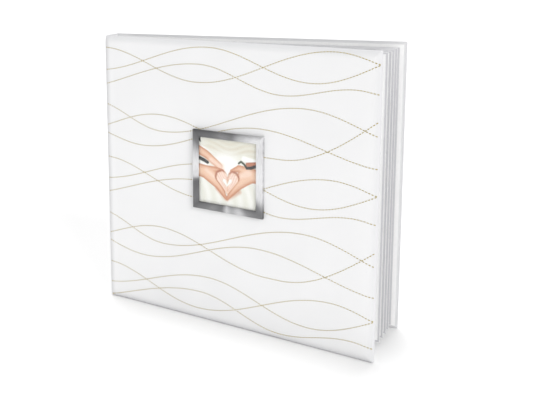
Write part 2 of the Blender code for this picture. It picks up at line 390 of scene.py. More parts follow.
def mark_points(piece, name, values):
    """Write a value, or a vector, on each point of a piece, for its finish to read."""
    values = np.asarray(values, float)
    kind, field = ("FLOAT", "value") if values.ndim == 1 else ("FLOAT_VECTOR", "vector")
    piece.data.attributes.new(name, kind, "POINT").data.foreach_set(field, values.ravel())


def grid_faces(rows, columns, start=0, closed=False):
    """Quads between the rows and columns of a grid of points."""
    faces = []
    for row in range(rows - 1):
        for column in range(columns if closed else columns - 1):
            after = (column + 1) % columns
            faces.append((start + row * columns + column, start + row * columns + after,
                          start + (row + 1) * columns + after, start + (row + 1) * columns + column))
    return faces


def shell(outside, inside):
    """Points and faces of a closed skin between two grids of the same size."""
    rows, columns = outside.shape[:2]
    points = np.concatenate((outside.reshape(-1, 3), inside.reshape(-1, 3)))
    count = rows * columns
    faces = grid_faces(rows, columns) + [face[::-1] for face in grid_faces(rows, columns, count)]
    rim = list(range(columns))
    rim += [row * columns + columns - 1 for row in range(1, rows)]
    rim += [(rows - 1) * columns + column for column in range(columns - 2, -1, -1)]
    rim += [row * columns for row in range(rows - 2, 0, -1)]
    for here, after in zip(rim, rim[1:] + rim[:1]):
        faces.append((here, after, after + count, here + count))
    return points, faces


CORNER_STEPS = 5


def ring(width, height, inset, radius, columns, rows):
    """A rounded rectangle of (distance, height) points, drawn in from the edges by an inset."""
    reach = max(radius - inset, 0.4 * MM)
    left, right, foot, top = inset, width - inset, inset, height - inset
    across = np.linspace(left + reach, right - reach, columns)
    upward = np.linspace(foot + reach, top - reach, rows)
    points = [(x, foot) for x in across]
    points += corner_arc(right - reach, foot + reach, reach, -90)
    points += [(right, z) for z in upward]
    points += corner_arc(right - reach, top - reach, reach, 0)
    points += [(x, top) for x in across[::-1]]
    points += corner_arc(left + reach, top - reach, reach, 90)
    points += [(left, z) for z in upward[::-1]]
    points += corner_arc(left + reach, foot + reach, reach, 180)
    return points, across, upward


def corner_arc(x, z, radius, start):
    """The points inside a quarter turn, without its two ends."""
    turns = np.radians(start + 90 * np.arange(1, CORNER_STEPS) / CORNER_STEPS)
    return [(x + radius * math.cos(turn), z + radius * math.sin(turn)) for turn in turns]


def face_cap(points, faces, start, across, upward, depth_at):
    """Fill the middle of the ring that begins at start with a grid, at the depth of the face."""
    columns, rows = len(across), len(upward)
    inner = len(points)
    points += [(x, depth_at(x, z), z) for z in upward for x in across]
    side = CORNER_STEPS - 1
    foot = start
    right = foot + columns + side
    top = right + rows + side
    left = top + columns + side
    faces += grid_faces(rows, columns, inner)
    for k in range(columns - 1):
        faces.append((foot + k, foot + k + 1, inner + k + 1, inner + k))
        roof = inner + (rows - 1) * columns
        faces.append((top + k, top + k + 1, roof + columns - 2 - k, roof + columns - 1 - k))
    for k in range(rows - 1):
        edge = inner + columns - 1
        faces.append((right + k, right + k + 1, edge + (k + 1) * columns, edge + k * columns))
        wall = inner + (rows - 1 - k) * columns
        faces.append((left + k, left + k + 1, wall - columns, wall))
    faces.append([foot + columns - 1 + k for k in range(side + 2)] + [inner + columns - 1])
    faces.append([right + rows - 1 + k for k in range(side + 2)] + [inner + rows * columns - 1])
    faces.append([top + columns - 1 + k for k in range(side + 2)] + [inner + (rows - 1) * columns])
    faces.append([left + rows - 1 + k for k in range(side + 1)] + [foot, inner])


def mark_painted_edge_shade(piece, rim, reach):
    """Note how near each point is to the edge, for the painted shade that greys the leather there."""
    mark_points(piece, "edge", np.clip(1 - np.maximum(rim, 0) / reach, 0, 1) ** 1.5)


def rim_distance(piece, side, low, high):
    """Distance of each point of a piece from the nearest edge of its board."""
    read = (points_of(piece) - side.corner) @ side.axes.T
    return np.minimum(read - low, high - read)[:, (0, 2)].min(1)


def wrapped_board(side, low, high, profile, radius, columns, rows, outer_depth, inner_depth):
    """Leather round a board: rings along a profile, with the two faces filled at its ends."""
    width, height = high[0] - low[0], high[2] - low[2]
    points, faces = [], []
    for inset, depth in profile:
        outline, across, upward = ring(width, height, inset, radius, columns, rows)
        points += [(x, depth, z) for x, z in outline]
    around = len(outline)
    faces += grid_faces(len(profile), around, closed=True)
    first_across, first_upward = ring(width, height, profile[0][0], radius, columns, rows)[1:]
    face_cap(points, faces, 0, first_across, first_upward, outer_depth)
    face_cap(points, faces, around * (len(profile) - 1), across, upward, inner_depth)
    return side.place(np.array(points) + (low[0], 0, low[2])), faces


# %% [markdown]
# ## The padded front cover
#
# On the real book a thin sheet of foam lies between the board and the leatherette, so the front is
# soft to press and its edges are full and round. Pulling the leather down over the foam makes the
# edge follow a quarter of an ellipse: wide across the face and shallow in depth. The silver frame
# is clamped on through the board and pulls a shallow hollow into the padding around itself.
# Both shapes are plain formulas, so the skin and the embroidery on it can share them.

# %% Shape the padded face
PAD_EDGE_WIDTH = 9 * MM
PAD_EDGE_DEPTH = 3.8 * MM
LEATHER = 0.6 * MM
HOLLOW_DEPTH = 0.2 * MM
HOLLOW_REACH = 7 * MM
PILLOW_RISE = 0.5 * MM
PILLOW_REACH = 3 * PAD_EDGE_WIDTH
EDGE_SHARE = 0.9
frame_low, frame_high = front.measure("silver_frame")
frame_middle = (frame_low + frame_high) / 2
frame_half = (frame_high[0] - frame_low[0]) / 2


def quarter_ellipse(inset, width, depth):
    """How far an edge has fallen at a distance in from the rim."""
    across = np.clip((width - np.asarray(inset, float)) / width, 0, 1)
    return depth * (1 - np.sqrt(1 - across ** 2))


def padded_depth(x, z):
    """Depth of the front cover's skin below its highest level."""
    x, z = np.asarray(x, float), np.asarray(z, float)
    rim = np.minimum(np.minimum(x, cover_width - x), np.minimum(z, cover_height - z))
    from_frame = np.maximum(abs(x - frame_middle[0]), abs(z - frame_middle[2])) - frame_half
    hollow = HOLLOW_DEPTH * np.exp(-(np.maximum(from_frame, 0) / HOLLOW_REACH) ** 2)
    soft = PILLOW_RISE * np.exp(-np.maximum(rim, 0) / PILLOW_REACH)
    return quarter_ellipse(rim, PAD_EDGE_WIDTH, PAD_EDGE_DEPTH) * EDGE_SHARE + soft + hollow


print("skin depth at the rim, at 5 mm and in the middle:",
      [round(float(padded_depth(x, cover_height / 3)) / MM, 2) for x in (0, 0.005, 0.1)])

# %% Wrap the front cover
TURN_IN_WIDTH = 14 * MM
FACE_INSET = 22 * MM
CORNER_RADIUS = 1.5 * MM


def edge_profile(thickness, edge_width, fall, turn_in, inset):
    """(inset, depth) from the face, round the edge and under the turn-in, and back inside the leather."""
    turns = np.radians(np.linspace(0, 90, 9))
    insets = [inset] + [edge_width * (1 - math.sin(turn)) for turn in turns]
    outer = [(m, float(fall(m))) for m in insets]
    side_end = thickness - LEATHER
    under = [(0.0, (outer[-1][1] + side_end) / 2), (0.0, side_end),
             (0.2 * LEATHER, thickness - 0.25 * LEATHER),
             (LEATHER, thickness), (turn_in / 2, thickness), (turn_in, thickness)]
    lining = [(turn_in, side_end), (turn_in / 2, side_end),
              (1.2 * LEATHER, side_end), (LEATHER, thickness - 1.6 * LEATHER)]
    inner = [(m + LEATHER, depth + 0.9 * LEATHER) for m, depth in outer[:0:-1]]
    return outer + under + lining + inner + [(inset + LEATHER, LEATHER)]


def front_fall(inset):
    """The padded edge's depth at an inset, halfway up the cover."""
    return padded_depth(inset, cover_height / 3)


front_profile = edge_profile(cover_high[1], PAD_EDGE_WIDTH, front_fall, TURN_IN_WIDTH, FACE_INSET)
FACE_COLUMNS = 76
FACE_ROWS = 70
points, faces = wrapped_board(front, cover_low, cover_high, front_profile, CORNER_RADIUS, FACE_COLUMNS,
                              FACE_ROWS, lambda x, z: float(padded_depth(x, z)), lambda x, z: LEATHER)
front_skin = add_mesh("front_cover_skin", points, faces, leatherette, "front_cover")
mark_painted_edge_shade(front_skin, rim_distance(front_skin, front, cover_low, cover_high), PAD_EDGE_WIDTH)
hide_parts("front_cover_leather")
print("front skin:", len(front_skin.data.polygons), "faces")

# %% [markdown]
# ## The back cover and the spine
#
# These two are the same wrapped boards without foam. Their leather is pulled tight over bare board,
# so the edge is a small even round instead of a full one.

# %% Wrap the back cover and the spine
BOARD_EDGE = 1.0 * MM
PLAIN_INSET = 10 * MM
SPINE_TURN_IN = 6 * MM


def board_fall(inset):
    """The edge of a leather-covered board without padding."""
    return quarter_ellipse(inset, BOARD_EDGE, BOARD_EDGE)


def wrap_plain_board(name, node, side, turn_in, inset, columns, rows, body):
    """Tight leather round one of the boards without foam."""
    low, high = side.measure(node)
    profile = edge_profile(high[1], BOARD_EDGE, board_fall, turn_in, inset)
    points, faces = wrapped_board(side, low, high, profile, CORNER_RADIUS, columns, rows,
                                  lambda x, z: 0.0, lambda x, z: LEATHER)
    made = add_mesh(name, points, faces, leatherette, body)
    mark_painted_edge_shade(made, rim_distance(made, side, low, high) - BOARD_EDGE / 2, BOARD_EDGE)
    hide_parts(node)
    return made


back_skin = wrap_plain_board("back_cover_skin", "back_cover_leather", back, TURN_IN_WIDTH, PLAIN_INSET,
                             30, 28, "back_cover")
spine_skin = wrap_plain_board("spine_skin", "spine_leather", spine_from_front, SPINE_TURN_IN, 5 * MM,
                              4, 28, "binding")
print("back and spine:", len(back_skin.data.polygons), len(spine_skin.data.polygons), "faces")

# %% [markdown]
# ## The hinge leather
#
# A bookbinder leaves the leather free between the boards, and that free strip is the hinge. Its
# edges are pared thin, or skived, so that they can't be seen or felt where they are pasted down.
# Each strip here follows a short list of points, from the cover's face, round the spine corner and
# on to the spine's face. It is thickest at the bend and thins out to nothing at both ends.

# %% Lay the hinge leather
HINGE_THICKNESS = 0.4 * MM
HINGE_STATIONS = 33
HINGE_ROWS = 20
HINGE_EDGE_STEPS = np.array((0.3, 0.8, 1.6, 3, 5, 9)) * MM
PLAIN_START = 20 * MM
BLEND_START = (5 * MM, 0, 0)


def smooth_path(points, count):
    """An even Catmull-Rom curve through the points."""
    points = np.asarray(points, float)
    padded = np.concatenate((2 * points[:1] - points[1:2], points, 2 * points[-1:] - points[-2:-1]))
    spots = np.linspace(0, len(points) - 1, count)
    made = []
    for spot in spots:
        k = min(int(spot), len(points) - 2)
        t = spot - k
        a, b, c, d = padded[k:k + 4]
        made.append(0.5 * (2 * b + (c - a) * t + (2 * a - 5 * b + 4 * c - d) * t ** 2
                           + (3 * b - a - 3 * c + d) * t ** 3))
    return np.array(made)


def lay_hinge(name, cover, spine, cover_path, spine_path, cover_fall, painted_shade_reach):
    """A skived strip of leather from the cover's face round the corner to the spine's face."""
    cover_points = cover.place([(x, depth, 0) for x, depth in cover_path])
    spine_points = spine.place([(x, depth, 0) for x, depth in spine_path])
    route = smooth_path(np.concatenate((cover_points, spine_points[::-1])), HINGE_STATIONS)
    along = np.gradient(route, axis=0)
    outward = np.cross(along, UP)
    outward /= np.linalg.norm(outward, axis=1)[:, None]
    under_the_corner = [(PLAIN_START, PLAIN_START, 0)]
    middle = (cover.place(under_the_corner) + spine.place(under_the_corner))[0] / 2
    outward *= np.sign(((route - middle) * outward).sum(1))[:, None]
    share = np.linspace(0, 1, HINGE_STATIONS)
    thickness = HINGE_THICKNESS * np.clip(6 * np.minimum(share, 1 - share), 0.05, 1)
    plain_rows = np.linspace(PLAIN_START, cover_height - PLAIN_START, HINGE_ROWS)
    heights = np.concatenate((HINGE_EDGE_STEPS, plain_rows, cover_height - HINGE_EDGE_STEPS[::-1]))
    outside, inside = [], []
    for z in heights:
        rim = min(z, cover_height - z)
        fall = (1 - share) * float(cover_fall(rim)) + share * float(board_fall(rim))
        row = route - outward * fall[:, None] + UP * z
        outside.append(row)
        inside.append(row - outward * thickness[:, None])
    points, faces = shell(np.array(outside), np.array(inside))
    made = add_mesh(name, points, faces, leatherette, None)
    made_points = points_of(made)
    from_corner = np.linalg.norm((made_points - cover.corner)[:, :2], axis=1)
    ends = np.minimum(made_points[:, 2], cover_height - made_points[:, 2])
    # Painted shade: the strip greys towards the spine corner and towards its head and tail.
    mark_painted_edge_shade(made, np.minimum(from_corner, ends), painted_shade_reach)
    start = cover.place([BLEND_START])[0]
    end = spine.place([BLEND_START])[0]
    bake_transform(made)
    return made


def on_pad(x, lift):
    """A point of the strip over the padded cover, lifted off its skin."""
    return x, float(front_fall(x)) - lift


STRIP_WIDTH = 13 * MM
padded_path = [on_pad(STRIP_WIDTH, 0.01 * MM), on_pad(10 * MM, 0.2 * MM), on_pad(7 * MM, 0.3 * MM),
               on_pad(4.5 * MM, 0.35 * MM), on_pad(2.4 * MM, 0.45 * MM)]
plain_path = [(11 * MM, -0.01 * MM), (9 * MM, -0.2 * MM), (7 * MM, -0.3 * MM), (4.5 * MM, -0.1 * MM),
              (2.4 * MM, 0.5 * MM)]


def pad_rim_fall(rim):
    """How far the strip dips at the cover's head and tail."""
    return max(float(front_fall(rim)) - float(front_fall(FACE_INSET)), 0.0)


front_strip = lay_hinge("front_hinge_leather", front, spine_from_front, padded_path, plain_path,
                        pad_rim_fall, PAD_EDGE_WIDTH)
back_strip = lay_hinge("back_hinge_leather", back, spine_from_back, plain_path, plain_path,
                       board_fall, 2 * BOARD_EDGE)
print("hinge strips:", len(front_strip.data.polygons), len(back_strip.data.polygons), "faces")

# %% [markdown]
# ## Gold wave embroidery
#
# Fifteen gold threads run across the cover in five bands of three, and each thread is one row of
# straight running stitches made by machine before the leather is wrapped. A wave is drawn here from
# its crests and troughs, joined by smooth half-cosines. The wave is then walked in stitch lengths,
# and each stitch is a small bead of thread whose two ends dive into the leather. One long tube
# would look like piping, and a printed line would not catch the light.
#
# Places are in millimetres: across the cover from the spine, and down from the start of the band.

# %% Draw the waves
WAVES_A = (
    ((0, 0), (130, 32), (295, -10), (400, 14)),
    ((-15, 27), (144, -7), (270, 23), (410, -20)),
    ((-60, 52), (132, 12), (237, 38), (318, 26), (380, 36)),
)
WAVES_B = (
    ((-15, -3), (83, 24), (262, -18), (395, 14)),
    ((-45, 33), (78, 5), (218, 38), (235, 38), (455, -66)),
    ((-55, 22), (55, 43), (208, 8), (360, 36)),
)
BANDS = [(13.5 + 129.8 * k, WAVES_A) for k in range(3)] + [(81 + 132 * k, WAVES_B) for k in range(2)]
THREAD_START = 2.4 * MM
THREAD_END_TURN = 76
ROUTE_STEP = 0.4 * MM
STRIP_HEIGHT = 0.34 * MM
STRIP_SLOPE = 8 * MM


def wave_drop(turning_points, x):
    """How far down a thread is at x, by half-cosines between its crests and troughs."""
    spots, drops = np.array(turning_points, float).T * MM
    k = np.clip(np.searchsorted(spots, x) - 1, 0, len(spots) - 2)
    share = (x - spots[k]) / (spots[k + 1] - spots[k])
    return drops[k] + (drops[k + 1] - drops[k]) * (1 - np.cos(math.pi * share)) / 2


def thread_route(start, turning_points):
    """Points and outward directions along one thread, over the face and the rounded fore edge."""
    turns = np.radians(np.linspace(0, THREAD_END_TURN, 36))
    round_part = cover_width - PAD_EDGE_WIDTH * (1 - np.sin(turns))
    x = np.concatenate((np.arange(THREAD_START, round_part[0], ROUTE_STEP), round_part))
    z = cover_height - start * MM - wave_drop(turning_points, x)
    depth = padded_depth(x, z) - strip_lift(x)
    step = 0.01 * MM
    slope_x = (padded_depth(np.minimum(x + step, cover_width), z) - padded_depth(x - step, z)) / (2 * step)
    slope_z = (padded_depth(x, z + step) - padded_depth(x, z - step)) / (2 * step)
    outward = np.stack((slope_x, -np.ones_like(x), slope_z), 1)
    outward /= np.linalg.norm(outward, axis=1)[:, None]
    return np.stack((x, depth, z), 1), outward


def strip_lift(x):
    """How far the hinge leather stands over the padded skin near the spine."""
    share = np.clip((STRIP_WIDTH - np.asarray(x, float)) / STRIP_SLOPE, 0, 1)
    return STRIP_HEIGHT * share ** 2 * (3 - 2 * share)


# %% Sew the stitches
STITCH_PITCH = 3.5 * MM
STITCH_LENGTH = 2.3 * MM
THREAD_HALF_WIDTH = 0.46 * MM
THREAD_HALF_HEIGHT = 0.36 * MM
STITCH_RISE = 0.42 * MM
STITCH_SINK = 0.34 * MM
TIP_SHARE = 0.35
STATIONS = np.radians(np.array((4, 30, 60, 90, 120, 150, 176)))
SIDES = np.radians(np.arange(0, 360, 60))


def sew_thread(name, start, turning_points, finish):
    """One thread: a row of stitches whose ends dive into the leather."""
    route, outward = thread_route(start, turning_points)
    walked = np.concatenate(((0.0,), np.cumsum(np.linalg.norm(np.diff(route, axis=0), axis=1))))
    points, faces, wraps = [], [], []
    for first in np.arange(0.2 * MM, walked[-1] - STITCH_LENGTH, STITCH_PITCH):
        spots = first + STITCH_LENGTH * (1 - np.cos(STATIONS)) / 2
        core = np.stack([np.interp(spots, walked, route[:, axis]) for axis in range(3)], 1)
        away = np.stack([np.interp(spots, walked, outward[:, axis]) for axis in range(3)], 1)
        away /= np.linalg.norm(away, axis=1)[:, None]
        along = np.gradient(core, axis=0)
        across = np.cross(along, away)
        across /= np.linalg.norm(across, axis=1)[:, None]
        plump = np.sin(STATIONS) ** 0.6
        core = core + away * (STITCH_RISE * plump - STITCH_SINK)[:, None]
        base = len(points)
        for k in range(len(STATIONS)):
            for turn in SIDES:
                reach = across[k] * math.cos(turn) * THREAD_HALF_WIDTH
                reach = reach + away[k] * math.sin(turn) * THREAD_HALF_HEIGHT
                points.append(core[k] + reach * (TIP_SHARE + (1 - TIP_SHARE) * plump[k]))
                wraps.append((spots[k] / MM, turn / math.tau, 0))
        faces += grid_faces(len(STATIONS), len(SIDES), base, closed=True)
        faces.append(list(range(base, base + len(SIDES))))
        faces.append(list(range(len(points) - len(SIDES), len(points)))[::-1])
    thread = add_mesh(name, front.place(points), faces, finish, "front_cover", weld=False)
    mark_points(thread, "twist", wraps)
    return thread


def mix_gold_thread():
    """Champagne gold thread with its twist of plies."""
    made, tree, shader = finish_from("gold_thread", 0.45, 0.35)
    plies = tree.nodes.new("ShaderNodeTexWave")
    plies.bands_direction = "DIAGONAL"
    plies.inputs["Scale"].default_value = 0.9
    plies.inputs["Distortion"].default_value = 0.6
    tree.links.new(mark(tree, "twist")["Vector"], plies.inputs["Vector"])
    tone = ramp(tree, plies.outputs["Fac"], (0.0, (0.13, 0.09, 0.002)), (0.5, (0.36, 0.265, 0.02)),
                (1.0, (0.62, 0.48, 0.06)))
    tree.links.new(tone, shader.inputs["Base Color"])
    bump(tree, shader, plies.outputs["Fac"], 0.12, 0.9)
    return made


gold_thread = mix_gold_thread()
thread_names = []
for band, (start, waves) in enumerate(BANDS, 1):
    for strand, wave in enumerate(waves, 1):
        thread_names.append(sew_thread(f"thread_{band}_{strand}", start, wave, gold_thread).name)
print("threads:", len(thread_names))

# %% [markdown]
# ## The silver frame
#
# The frame is pressed from sheet metal: a flat brushed face, a soft bevel outside and inside, and a
# thin wall behind it. The wall is left out along the top, where the keepsake picture slides in. A
# moulding is easiest to build as its cross-section carried round a square with mitred corners. Each
# side keeps its own lengthwise coordinate, so that the brush marks run along the bar and meet at the
# mitre, as they do on a real frame. The dark and light reflections along each bar are painted into
# the metal's colour from a short list of tones, so they stay where they are when the light moves.

# %% Press the frame
FRAME_STEPS = 28
WALL = 1.0 * MM
BORDER = 8.0 * MM
FACE_THICKNESS = 1.0 * MM
BEVEL = 0.45 * MM
FACE_CROWN = 0.05 * MM
# Painted reflections: light and dark tones along each bar, from its first corner (0) to its next (1).
PAINTED_REFLECTION_TONES = {
    "foot": ((0, 0.30), (0.12, 0.42), (0.3, 0.5), (0.42, 0.42), (0.5, 0.8), (0.58, 0.62), (0.7, 0.8),
             (0.8, 0.5), (1, 0.42)),
    "right": ((0, 0.4), (0.08, 0.45), (0.2, 0.85), (0.5, 0.95), (0.8, 0.88), (1, 0.9)),
    "top": ((0, 0.9), (0.12, 0.85), (0.3, 0.7), (0.42, 0.45), (0.6, 0.5), (0.75, 0.34), (1, 0.28)),
    "left": ((0, 0.3), (0.1, 0.42), (0.28, 0.8), (0.42, 0.92), (0.6, 0.85), (0.66, 0.3), (0.9, 0.4),
             (1, 0.3)),
}
frame_size = frame_high[0] - frame_low[0]
face_depth = frame_low[1]


def square_path(inset, steps):
    """Points round the frame's square at an inset, side by side, from the lower left corner."""
    size = frame_size - 2 * inset
    corner = np.array((frame_low[0] + inset, frame_low[2] + inset))
    share = np.linspace(0, 1, steps + 1)[:, None]
    ways = np.array(((1, 0), (0, 1), (-1, 0), (0, -1)), float)
    starts = np.array(((0, 0), (1, 0), (1, 1), (0, 1)), float)
    return [corner + size * (start + way * share) for start, way in zip(starts, ways)]


def press_frame(finish):
    """The mitred face of the frame with the three walls behind it."""
    face_back = face_depth + FACE_THICKNESS
    wall_front = face_depth + 0.9 * FACE_THICKNESS
    bevel_low = face_depth + BEVEL
    bevel_middle = face_depth + 0.3 * BEVEL
    front_face = ((0.0, face_back), (0.0, bevel_low), (0.3 * BEVEL, bevel_middle), (BEVEL, face_depth),
                  (BORDER / 2, face_depth - FACE_CROWN),
                  (BORDER - BEVEL, face_depth), (BORDER - 0.3 * BEVEL, bevel_middle), (BORDER, bevel_low),
                  (BORDER, face_back), (WALL, face_back))
    wall = ((0.0, wall_front), (0.0, frame_high[1]), (WALL, frame_high[1]), (WALL, wall_front))
    points, faces, marks = [], [], []

    def sweep(profile, sides, closed_ends):
        paths = [square_path(inset, FRAME_STEPS) for inset, _ in profile]
        for number in sides:
            base = len(points)
            reflection_tones = PAINTED_REFLECTION_TONES[("foot", "right", "top", "left")[number]]
            for k in range(FRAME_STEPS + 1):
                for path, (inset, depth) in zip(paths, profile):
                    x, z = path[number][k]
                    points.append((x, depth, z))
                    # Painted reflections: each point takes the tone listed for its place along the bar.
                    tone = np.interp(k / FRAME_STEPS, *zip(*reflection_tones))
                    marks.append((k / FRAME_STEPS * frame_size / MM + 200 * number, inset / MM, tone))
            count = len(profile)
            faces.extend(grid_faces(FRAME_STEPS + 1, count, base, closed=True))
            if closed_ends:
                faces.append(list(range(base, base + count)))
                faces.append(list(range(len(points) - count, len(points)))[::-1])

    sweep(front_face, range(4), False)
    sweep(wall, (0, 1, 3), True)
    made = add_mesh("silver_frame_pressed", front.place(points), faces, finish, "front_cover",
                    weld=False)
    mark_points(made, "brush_marks_and_reflections", marks)
    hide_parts("silver_frame")
    return made


def mix_silver_with_painted_reflections():
    """Silver with brush marks along each bar and painted light and dark reflections along its length."""
    made, tree, shader = finish_from("brushed_silver", 0.34, 1.0)
    brush_marks_and_reflections = mark(tree, "brush_marks_and_reflections")["Vector"]
    parts = tree.nodes.new("ShaderNodeSeparateXYZ")
    tree.links.new(brush_marks_and_reflections, parts.inputs["Vector"])
    marks = tree.nodes.new("ShaderNodeMapping")
    marks.inputs["Scale"].default_value = (0.08, 3.0, 0.0)
    tree.links.new(brush_marks_and_reflections, marks.inputs["Vector"])
    streaks = noise(tree, marks.outputs["Vector"], 0.8, 4, 0.7)
    # Painted reflections: the written tone, broken by the brush streaks, sets the colour from nearly black
    # to bright silver.
    light = tree.nodes.new("ShaderNodeMath")
    light.operation = "MULTIPLY"
    tree.links.new(parts.outputs["Z"], light.inputs[0])
    tree.links.new(remap(tree, streaks, 0.3, 0.7, 0.82, 1.15), light.inputs[1])
    tone = ramp(tree, light.outputs["Value"], (0.0, (0.03, 0.03, 0.032)), (0.45, (0.2, 0.2, 0.205)),
                (0.75, (0.52, 0.52, 0.53)), (1.0, (0.86, 0.86, 0.87)))
    tree.links.new(tone, shader.inputs["Base Color"])
    tree.links.new(remap(tree, streaks, 0.2, 0.8, 0.26, 0.44), shader.inputs["Roughness"])
    bump(tree, shader, streaks, 0.03, 0.5)
    return made


brushed_silver = mix_silver_with_painted_reflections()
silver_frame = press_frame(brushed_silver)
print("frame:", len(silver_frame.data.polygons), "faces, face", round(-face_depth / MM, 1), "mm proud")

# %% [markdown]
# ## The keepsake picture
#
# The frame comes with a sample print: two pairs of hands that make a heart in front of a pale dress.
# It is painted here the way a sketch of a hand starts, with tapered sausage shapes. All the shapes
# of one hand are joined before they are shaded, and the shade only deepens towards the outline of
# the whole hand, so no seams show between the fingers and the palm. Thin creases go on top. The
# paint is kept as colours on a fine grid of points, so the picture is part of the mesh. Places run
# from 0 to 1 across the window and down it.

# %% Paint the picture
PICTURE_CELLS = 190
SKIN = (0.95, 0.80, 0.69)
TAN = (0.78, 0.51, 0.37)
PALE_SKIN = (0.99, 0.90, 0.85)
CREASE = (0.68, 0.41, 0.31)
WHITE = (1.0, 1.0, 0.99)
CREAM = (0.925, 0.925, 0.885)
BEIGE = (0.83, 0.79, 0.70)
BLACK = (0.05, 0.06, 0.06)
GREEN = (0.16, 0.22, 0.12)
HEART_TIP = (0.495, 0.82)


def reach_inside(u, v, points, radii):
    """How far inside a chain of tapered capsules each point is; the radius runs from first to last."""
    sizes = np.linspace(*radii, len(points))
    best = np.full(u.shape, -1.0)
    for k in range(len(points) - 1):
        way = np.subtract(points[k + 1], points[k])
        share = np.clip(((u - points[k][0]) * way[0] + (v - points[k][1]) * way[1]) / (way @ way), 0, 1)
        distance = np.hypot(u - points[k][0] - way[0] * share, v - points[k][1] - way[1] * share)
        best = np.maximum(best, sizes[k] + (sizes[k + 1] - sizes[k]) * share - distance)
    return best


def lay(paint, u, v, chains, colour, rim, rim_width=0.05, strength=1.0, blur=0.009):
    """Paint several chains as one shape, shaded from its rim colour to its middle colour."""
    inside = np.max([reach_inside(u, v, points, radii) for points, radii in chains], axis=0)
    cover = strength * np.clip(inside / blur + 0.5, 0, 1)[..., None]
    body = np.clip(inside / rim_width, 0, 1)[..., None]
    shade = np.array(rim) + (np.array(colour) - np.array(rim)) * (body * (2 - body))
    paint[:] = paint + (shade - paint) * cover


def paint_dress(u, v):
    """The pale dress behind the hands: soft folds, streaked lace at the top, a glow in the middle."""
    folds = 0.5 + 0.5 * np.sin(34 * u + 4 * np.sin(5 * v))
    streaks = 0.5 + 0.5 * np.sin(75 * (v + 0.16 * (u - 0.5) ** 2) + 3 * np.sin(9 * u))
    lace = np.exp(-((v - 0.12) / 0.12) ** 2) * (0.35 + 0.65 * streaks)
    paint = np.array(CREAM) + (np.array(WHITE) - np.array(CREAM)) * (0.55 * folds * (v > 0.3))[..., None]
    paint = paint + (np.array(BEIGE) - paint) * (0.6 * lace * np.clip((u - 0.02) * 6, 0, 1))[..., None]
    glow = np.exp(-(((u - 0.46) / 0.24) ** 2 + ((v - 0.36) / 0.15) ** 2))
    return paint + (np.array(WHITE) - paint) * np.clip(1.4 * glow, 0, 1)[..., None]


